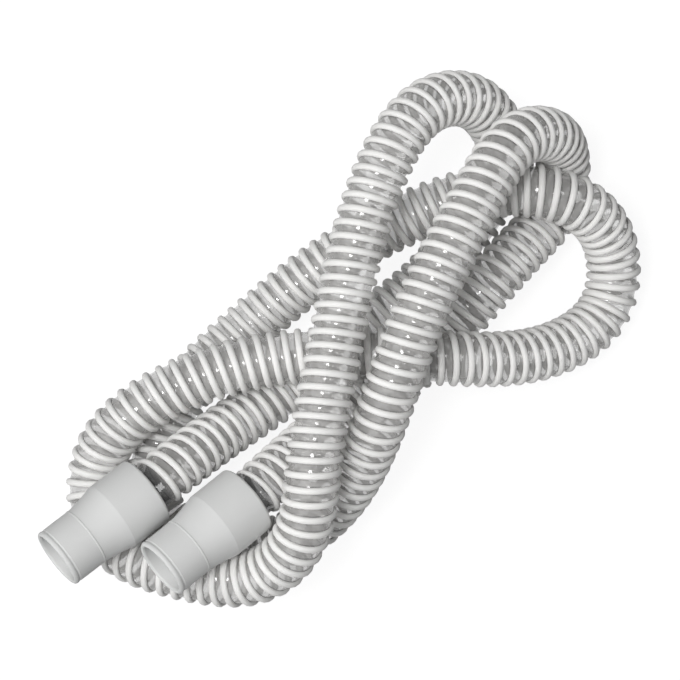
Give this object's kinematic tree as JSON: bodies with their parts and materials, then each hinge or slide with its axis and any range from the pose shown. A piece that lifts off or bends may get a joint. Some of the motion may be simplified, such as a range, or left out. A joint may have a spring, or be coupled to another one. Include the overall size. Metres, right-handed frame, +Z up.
{
  "type": "cpap hose",
  "caption": "Flexible ribbed breathing-air hose lying in loose loops, with a soft hollow cuff moulded on each end to slide over a conical port.",
  "frame": {"origin": "middle of the part's box in plan, on the plane that the hose lies on", "axes": "+Z up; +X along the lying hose, away from the cuffs' mouths; +Y across it"},
  "size_m": [0.2904, 0.1366, 0.0812],
  "materials": {
    "hose_film": "clear greyish film between white satin ribs",
    "cuff_rubber": "matte light grey elastomer"
  },
  "bodies": {
    "root": {"hose": "hose_film", "device_end_cuff": "cuff_rubber", "mask_end_cuff": "cuff_rubber"}
  },
  "joints": []
}
